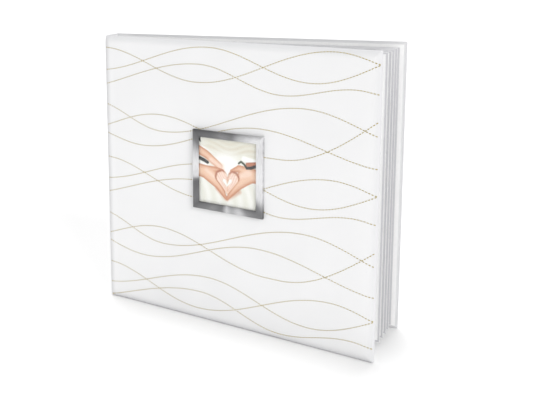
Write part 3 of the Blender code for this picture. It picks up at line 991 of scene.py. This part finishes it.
def paint_hands(paint, u, v):
    """Two pairs of hands, one within the other, that make a heart."""
    lay(paint, u, v, [(((-0.2, 0.07), (0.08, 0.17), (0.3, 0.25)), (0.05, 0.008))], WHITE, CREAM)
    lay(paint, u, v, [(((-0.2, 0.13), (0.12, 0.26), (0.36, 0.42)), (0.075, 0.05))], SKIN, TAN, 0.07)
    lay(paint, u, v, [(((0.2, 0.33), (0.4, 0.43)), (0.05, 0.05))], PALE_SKIN, SKIN, 0.05, 0.7, 0.06)
    lay(paint, u, v, [(((-0.2, 0.27), (0.07, 0.35), (0.14, 0.38)), (0.03, 0.024))], BLACK, BLACK)
    lay(paint, u, v, [(((-0.2, 0.35), (0.11, 0.415)), (0.024, 0.014))], WHITE, WHITE)
    lay(paint, u, v, [(((0.78, 0.25), (1.2, 0.32)), (0.05, 0.05))], WHITE, CREAM, 0.03, 1.0, 0.04)
    lay(paint, u, v, [(((0.84, 0.33), (1.2, 0.27)), (0.03, 0.028))], TAN, CREASE)
    hands = (
        [(((-0.25, 0.48), (0.1, 0.53), (0.22, 0.58)), (0.085, 0.12)),
         (((0.2, 0.57), (0.33, 0.7), (0.47, 0.89)), (0.12, 0.024)),
         (((0.1, 0.5), (0.26, 0.475), (0.41, 0.475)), (0.07, 0.022))],
        [(((1.25, 0.49), (0.9, 0.49), (0.8, 0.52)), (0.09, 0.13)),
         (((0.82, 0.51), (0.68, 0.66), (0.485, 0.9)), (0.13, 0.022)),
         (((0.86, 0.46), (0.7, 0.41), (0.56, 0.46)), (0.09, 0.02))],
    )
    for chains in hands:
        lay(paint, u, v, chains, SKIN, TAN, 0.085)
    lay(paint, u, v, [(((0.12, 0.5), (0.3, 0.62)), (0.05, 0.04))], PALE_SKIN, SKIN, 0.05, 0.6, 0.07)
    lay(paint, u, v, [(((0.86, 0.46), (0.72, 0.52)), (0.07, 0.05))], PALE_SKIN, SKIN, 0.05, 0.6, 0.07)
    undersides = [(((0.3, 0.76), (0.46, 0.9)), (0.02, 0.02)), (((0.7, 0.76), (0.49, 0.91)), (0.03, 0.015))]
    lay(paint, u, v, undersides, TAN, TAN, 0.05, 0.55, 0.05)
    heart = [(((0.385, 0.575), HEART_TIP), (0.115, 0.008)), (((0.6, 0.56), HEART_TIP), (0.105, 0.008))]
    lay(paint, u, v, heart, CREASE, TAN, 0.02, 0.8, 0.02)
    palms = [(((0.4, 0.59), HEART_TIP), (0.1, 0.004)), (((0.595, 0.58), HEART_TIP), (0.088, 0.004))]
    lay(paint, u, v, palms, PALE_SKIN, SKIN, 0.04, 1.0, 0.012)
    fingers = (
        (((0.33, 0.53), (0.39, 0.62), (0.485, 0.77)), (0.026, 0.012)),
        (((0.64, 0.54), (0.6, 0.64), (0.51, 0.77)), (0.028, 0.012)),
        (((0.4, 0.5), (0.44, 0.57), (0.49, 0.59)), (0.024, 0.018)),
        (((0.58, 0.5), (0.55, 0.56), (0.5, 0.59)), (0.024, 0.018)),
    )
    for finger in fingers:
        lay(paint, u, v, [finger], PALE_SKIN, TAN, 0.02, 0.55)
    inner = [(((0.44, 0.625), (0.487, 0.7)), (0.03, 0.01)),
             (((0.545, 0.615), (0.487, 0.7)), (0.028, 0.01))]
    lay(paint, u, v, inner, WHITE, CREAM, 0.02)
    lay(paint, u, v, [(((0.49, 0.42), (0.492, 0.53)), (0.055, 0.012))], WHITE, WHITE, 0.02, 0.95, 0.04)
    stem = [(((0.69, 0.33), (0.73, 0.3), (0.78, 0.33), (0.83, 0.385)), (0.013, 0.017))]
    lay(paint, u, v, stem, GREEN, GREEN)
    lay(paint, u, v, [(((0.83, 0.385), (0.9, 0.375), (1.2, 0.25)), (0.02, 0.024))], BLACK, BLACK)
    lay(paint, u, v, [(((-0.13, -0.2), (0.01, 0.07)), (0.13, 0.01))], BLACK, BLACK)


def srgb_to_linear(colour):
    """Paint colours as the shader expects them."""
    colour = np.clip(colour, 0, 1)
    return np.where(colour < 0.04045, colour / 12.92, ((colour + 0.055) / 1.055) ** 2.4)


def print_picture(finish):
    """The print: a thin card whose front carries the painted colours."""
    low, high = front.measure("cover_picture")
    x = np.linspace(low[0], high[0], PICTURE_CELLS + 1)
    z = np.linspace(high[2], low[2], PICTURE_CELLS + 1)
    across, down = np.meshgrid(x, z)
    window_left = frame_low[0] + BORDER
    window_top = frame_high[2] - BORDER
    window = frame_size - 2 * BORDER
    u, v = (across - window_left) / window, (window_top - down) / window
    paint = paint_dress(u, v)
    paint_hands(paint, u, v)
    outside = np.stack((across, np.full_like(across, low[1]), down), 2)
    inside = np.stack((across, np.full_like(across, high[1]), down), 2)
    points, faces = shell(outside, inside)
    made = add_mesh("cover_picture_print", front.place(points), faces, finish, "cover_picture",
                    weld=False)
    colours = np.ones((2, PICTURE_CELLS + 1, PICTURE_CELLS + 1, 4))
    colours[0, ..., :3] = srgb_to_linear(paint)
    layer = made.data.color_attributes.new("paint", "FLOAT_COLOR", "POINT")
    layer.data.foreach_set("color", colours.ravel())
    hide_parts("cover_picture")
    return made


def mix_print():
    """Photographic print: the paint, broken up by fine grain, under a soft gloss."""
    made, tree, shader = finish_from("picture_print", 0.3)
    grain = noise(tree, coordinates(tree), 0.3, 2)
    tone = ramp(tree, grain, (0.3, (0.9, 0.9, 0.9)), (0.7, (1, 1, 1)))
    tree.links.new(multiply(tree, mark(tree, "paint")["Color"], tone), shader.inputs["Base Color"])
    bump(tree, shader, grain, 0.01, 0.2)
    shader.inputs["Specular IOR Level"].default_value = 0.15
    return made


picture = print_picture(mix_print())
print("print:", len(picture.data.vertices), "points")

# %% [markdown]
# ## Finishes for the boards, paper, metal and clear parts
#
# These pieces keep the shapes of the working model, because a board or a screw post really is that
# plain. What each one needs is its material: pressed fibres in the greyboard, open cells in the
# foam, laid lines in the liner paper, turning marks on the brass posts, and faint haze and rub marks
# on the clear acrylic.

# %% Mix the hidden and plain materials


def mix_fibres(name, dark, light, fibre_mm, relief_mm, roughness, stretch=(1, 1, 1)):
    """Paper or board: blended fibres, with a matching low relief."""
    made, tree, shader = finish_from(name, roughness)
    vector = coordinates(tree, stretch)
    fibres = noise(tree, vector, fibre_mm, 5, 0.65, 0.8)
    rough = remap(tree, fibres, 0.3, 0.7, roughness - 0.08, roughness + 0.08)
    tree.links.new(ramp(tree, fibres, (0.35, dark), (0.65, light)), shader.inputs["Base Color"])
    tree.links.new(rough, shader.inputs["Roughness"])
    bump(tree, shader, fibres, relief_mm, 0.5)
    shader.inputs["Specular IOR Level"].default_value = 0.25
    return made


def mix_foam():
    """Open-cell foam: small round cells with darker hollows."""
    made, tree, shader = finish_from("foam_padding", 0.95)
    vector = coordinates(tree)
    hollows = cells(tree, vector, 0.8, "F1")
    tone = ramp(tree, hollows, (0.1, (0.62, 0.6, 0.52)), (0.5, (0.86, 0.85, 0.8)))
    tree.links.new(tone, shader.inputs["Base Color"])
    bump(tree, shader, hollows, 0.3, 0.8)
    shader.inputs["Specular IOR Level"].default_value = 0.1
    return made


def mix_metal(name, dark, light, roughness, mark_mm, stretch):
    """Bare metal with drawn or turned marks."""
    made, tree, shader = finish_from(name, roughness, 1.0)
    vector = coordinates(tree, stretch)
    marks = noise(tree, vector, mark_mm, 4, 0.6)
    rough = remap(tree, marks, 0.3, 0.7, roughness - 0.08, roughness + 0.1)
    tree.links.new(ramp(tree, marks, (0.3, dark), (0.7, light)), shader.inputs["Base Color"])
    tree.links.new(rough, shader.inputs["Roughness"])
    bump(tree, shader, marks, 0.02, 0.4)
    return made


# The weld grey: a milky weld, deepened as painted shade so the gaps between the leaves read dark.
WELD_GREY_AND_GAP_SHADE = (0.66, 0.65, 0.675)


def mix_clear(name, tint, alpha, weld_alpha, roughness):
    """Clear sheet: low alpha and a soft gloss, with haze where a weld attribute says so; the haze grey is
    partly painted shade.
    """
    made, tree, shader = finish_from(name, roughness)
    vector = coordinates(tree)
    rubs = noise(tree, vector, 6, 3, 0.6, 1.5)
    film = ramp(tree, rubs, (0.3, tint), (0.7, (1, 1, 1)))
    tree.links.new(remap(tree, rubs, 0.3, 0.7, roughness * 0.7, roughness * 1.5), shader.inputs["Roughness"])
    weld = mark(tree, "weld")["Fac"]
    # Painted shade: the weld band is an opaque grey, deeper than a milky weld alone.
    band = ramp(tree, weld, (0.0, (1, 1, 1)), (0.3, WELD_GREY_AND_GAP_SHADE), (0.7, WELD_GREY_AND_GAP_SHADE),
                (1.0, (1, 1, 1)))
    tree.links.new(multiply(tree, film, band), shader.inputs["Base Color"])
    tree.links.new(remap(tree, weld, 0, 0.5, alpha, weld_alpha), shader.inputs["Alpha"])
    bump(tree, shader, rubs, 0.02, 0.2)
    return made


finishes = {
    "greyboard": mix_fibres("greyboard", (0.30, 0.28, 0.25), (0.46, 0.44, 0.40), 1.2, 0.08, 0.85),
    "liner_paper": mix_fibres("liner_paper", (0.88, 0.88, 0.88), (0.94, 0.94, 0.935), 0.9, 0.04, 0.75,
                              (1, 1, 0.2)),
    "page_sheet": mix_fibres("page_sheet", (0.94, 0.94, 0.94), (0.97, 0.97, 0.97), 0.7, 0.02, 0.7),
    "binding_card": mix_fibres("binding_card", (0.74, 0.74, 0.74), (0.82, 0.82, 0.81), 0.8, 0.05, 0.7),
    "foam_padding": mix_foam(),
    "backing_tin": mix_metal("backing_tin", (0.40, 0.41, 0.42), (0.62, 0.63, 0.64), 0.4, 0.5, (1, 1, 0.04)),
    "post_brass": mix_metal("post_brass", (0.55, 0.40, 0.16), (0.80, 0.62, 0.30), 0.3, 0.3, (0.1, 1, 1)),
    "clear_acrylic": mix_clear("clear_acrylic", (0.95, 0.97, 0.97), 0.05, 0.05, 0.08),
}


def dress_node(node, slot):
    """Give a piece of the working model its finish."""
    piece = frame["nodes"][node]
    for holder in piece.material_slots:
        holder.material = finishes[slot]


node_finishes = {
    "greyboard": ["front_cover_board", "back_cover_board", "spine_board"],
    "liner_paper": ["front_cover_liner", "back_cover_liner", "spine_liner"],
    "page_sheet": [f"leaf_{k}_sheet" for k in range(1, 6)],
    "binding_card": ["front_post_strip", "back_post_strip"] + [f"leaf_{k}_tab" for k in range(1, 6)]
                    + [f"spacer_{k}" for k in range(1, 5)],
    "foam_padding": ["front_cover_foam_pad"],
    "backing_tin": ["frame_backing"],
    "post_brass": [f"post_{part}_{k}" for part in ("barrel", "screw") for k in range(1, 4)],
    "clear_acrylic": ["frame_glazing"],
}
for slot, nodes in node_finishes.items():
    for node in nodes:
        dress_node(node, slot)
print("finished pieces of the working model:", sum(map(len, node_finishes.values())))

# %% [markdown]
# ## The page sleeves
#
# Each leaf is a clear pocket: two thin films welded together along the spine side, the bottom and
# the fore edge, and open at the top for the sheet. Where they are welded the films pinch together
# and turn a milky grey, and that grey is deepened as painted shade, so the gaps between the leaves
# read dark. Each film is a thin shell whose gap closes towards the welds. A narrow flexible film
# joins the pocket to its tab in the binding.

# %% Weld the sleeves
FILM = 0.14 * MM
POCKET_HALF_GAP = 0.46 * MM
WELD_REACH = 2.5 * MM
WELD_BEAD = 0.45 * MM
BEAD_HALF = 0.3 * MM
POCKET_START = 8 * MM
WELD_BAND = 2.0 * MM
FILM_EDGE_STEPS = np.array((0, 0.45, 0.6, 2.0, 2.2, 4.0, 7.0)) * MM
FILM_STATIONS = 25
FILM_ROWS = 12
FILM_HAZE = 0.15
FILM_OVERLAP = 3 * MM
FILM_BEND_END = 4 * MM
PLAIN_PART = 0.03


def leaf_ruler(number):
    """A ruler along a leaf, from its hinge to its fore edge."""
    joint = hinge_of[f"leaf_{number}_hinge"]
    axis = np.array(joint["pos_m"])
    points = points_of(frame["nodes"][f"leaf_{number}_sleeve"])
    far = points[points[:, 0] > points[:, 0].max() - 3 * MM].mean(0) - axis
    length = math.hypot(far[0], far[1])
    along = (far[0] / length, far[1] / length, 0)
    return Side(axis, along, (-along[1], along[0], 0))


def two_films(film):
    """Points and faces of a pair of films; film gives one side's outside and inside grids."""
    points, faces = [], []
    for side in (-1, 1):
        film_points, film_faces = shell(*film(side))
        faces += [[k + len(points) for k in face] for face in film_faces]
        points += list(film_points)
    return points, faces


def weld_pocket(number, finish):
    """The two films of one leaf, pinched together at the welds."""
    ruler = leaf_ruler(number)
    low, high = ruler.measure(f"leaf_{number}_sleeve")
    x, z = (np.concatenate((start + FILM_EDGE_STEPS, np.linspace(start + PLAIN_PART, end - PLAIN_PART, 8),
                            end - FILM_EDGE_STEPS[::-1]))
            for start, end in ((POCKET_START, high[0]), (low[2], high[2])))
    across, upward = np.meshgrid(x, z)
    to_weld = np.minimum(np.minimum(across - x[0], x[-1] - across), upward - z[0])
    open_share = np.clip((to_weld - WELD_BEAD) / WELD_REACH, 0, 1)
    gap = POCKET_HALF_GAP * open_share ** 2 * (3 - 2 * open_share)
    gap = np.maximum(gap, BEAD_HALF * (to_weld <= WELD_BEAD))
    to_edge = np.minimum(to_weld, z[-1] - upward)
    weld = np.where(to_edge <= WELD_BEAD * 1.01, 1.0, np.where(to_edge <= WELD_BAND * 1.01, 0.5, 0.0))
    points, faces = two_films(lambda side: [np.stack((across, side * (gap + share * FILM), upward), 2)
                                            for share in (1, 0.1)])
    made = add_mesh(f"leaf_{number}_pocket", ruler.place(points), faces, finish, f"leaf_{number}",
                    weld=False)
    mark_points(made, "weld", np.tile(weld.ravel(), 4))
    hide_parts(f"leaf_{number}_sleeve")


def lay_leaf_film(number, finish):
    """The flexible film between a tab and its pocket."""
    ruler = leaf_ruler(number)
    low, high = ruler.measure(f"leaf_{number}_sleeve")
    tab_low, tab_high = Side(ruler.corner, (1, 0, 0), (0, 1, 0)).measure(f"leaf_{number}_tab")
    tab_end = ruler.corner + np.array((tab_high[0], 0, 0))
    start = tab_end - np.array((FILM_OVERLAP, 0, 0))
    route = smooth_path([start, tab_end, *ruler.place([(1.5 * MM, 0, 0), (POCKET_START / 2, 0, 0),
                                                       (POCKET_START + 1 * MM, 0, 0)])], FILM_STATIONS)
    outward = np.cross(np.gradient(route, axis=0), UP)
    outward /= np.linalg.norm(outward, axis=1)[:, None]
    share = np.linspace(0, 1, FILM_STATIONS)
    half_tab = (tab_high[1] - tab_low[1]) / 2 + FILM
    lift = FILM + (half_tab - FILM) * (1 - np.clip(share * 2.6 - 0.6, 0, 1)) ** 2
    heights = np.linspace(low[2], high[2], FILM_ROWS)
    points, faces = two_films(lambda side: [
        np.array([route + outward * (side * (lift - FILM * share))[:, None] + UP * z for z in heights])
        for share in (0, 0.8)])
    made = add_mesh(f"leaf_{number}_hinge_film", points, faces, finish, None, weld=False)
    mark_points(made, "weld", [FILM_HAZE] * len(points))
    bend_end = ruler.place([(FILM_BEND_END, 0, 0)])[0]
    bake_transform(made)


clear_sleeve = mix_clear("clear_sleeve", (0.95, 0.96, 0.97), 0.06, 0.85, 0.16)
for number in range(1, 6):
    weld_pocket(number, clear_sleeve)
    lay_leaf_film(number, clear_sleeve)
print("pockets and their hinge films: 5 each")

# %% Measure how far the finished book has grown
visual_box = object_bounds()
grown = np.round((np.array(visual_box) - np.array(cad_box)) / MM, 2)
print("grown beyond the working model by", grown.tolist(), "mm")
